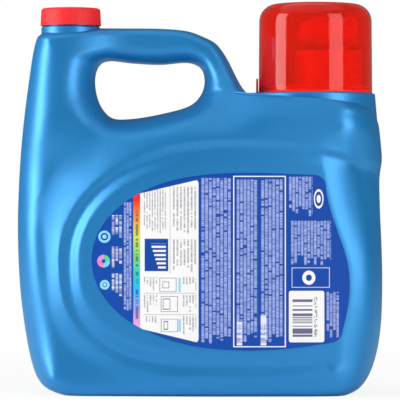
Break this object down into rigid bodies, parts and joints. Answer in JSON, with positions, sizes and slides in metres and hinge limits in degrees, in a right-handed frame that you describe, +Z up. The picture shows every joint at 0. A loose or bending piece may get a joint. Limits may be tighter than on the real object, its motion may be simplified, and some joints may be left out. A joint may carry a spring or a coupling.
{
  "type": "laundry detergent bottle",
  "caption": "Large blue blow-moulded detergent bottle with a through handle, a red screwed vent cap, a press tap and a translucent red measuring cup over the tap.",
  "frame": {"origin": "on the floor, under the middle of the bounding box", "axes": "+Z is up, from the base to the cup; +X runs from the vent cap's side to the cup's side; +Y is square to the label panels, with the small-print label on the -Y side"},
  "size_m": [0.262, 0.1086, 0.2795],
  "materials": {
    "bottle_plastic": "semi-gloss blow-moulded polyethylene",
    "label_film": "printed film label",
    "cap_plastic": "glossy opaque red plastic",
    "liner_foam": "soft foam sealing disc",
    "cup_plastic": "glossy translucent red plastic",
    "tap_plastic": "glossy opaque red plastic",
    "seal_rubber": "soft rubber",
    "button_plastic": "glossy opaque red plastic",
    "stem_plastic": "white plastic",
    "spring_steel": "stainless spring wire"
  },
  "bodies": {
    "bottle": {"bottle": "bottle_plastic", "back_label": "label_film", "front_label": "label_film", "cup_seat_ring": "cap_plastic", "tap_body": "tap_plastic", "tap_gasket": "seal_rubber", "stem_seal": "seal_rubber", "return_spring": "spring_steel"},
    "vent_liner": {"vent_cap_liner": "liner_foam"},
    "vent_cap": {"vent_cap": "cap_plastic"},
    "measuring_cup": {"measuring_cup": "cup_plastic"},
    "tap_button": {"tap_button": "button_plastic", "valve_stem": "stem_plastic", "valve_seal": "seal_rubber"}
  },
  "joints": [
    {"name": "vent_cap_lift", "type": "slide", "parent": "bottle", "child": "vent_liner", "axis": [0, 0, 1], "range_m": [0, 0.02]},
    {"name": "vent_cap_turn", "type": "hinge", "parent": "vent_liner", "child": "vent_cap", "pos_m": [-0.093, 0, 0.27], "axis": [0, 0, 1], "range_deg": [0, 900]},
    {"name": "cup_lift", "type": "slide", "parent": "bottle", "child": "measuring_cup", "axis": [0, 0, 1], "range_m": [0, 0.075]},
    {"name": "button_press", "type": "slide", "parent": "bottle", "child": "tap_button", "axis": [1, 0, 0], "range_m": [0, 0.004], "stiffness_N_per_m": 900, "deforming": ["return_spring"]}
  ],
  "couplings": [
    {"joint": "vent_cap_turn", "follows": "vent_cap_lift", "rad_per_m": 785.4}
  ]
}
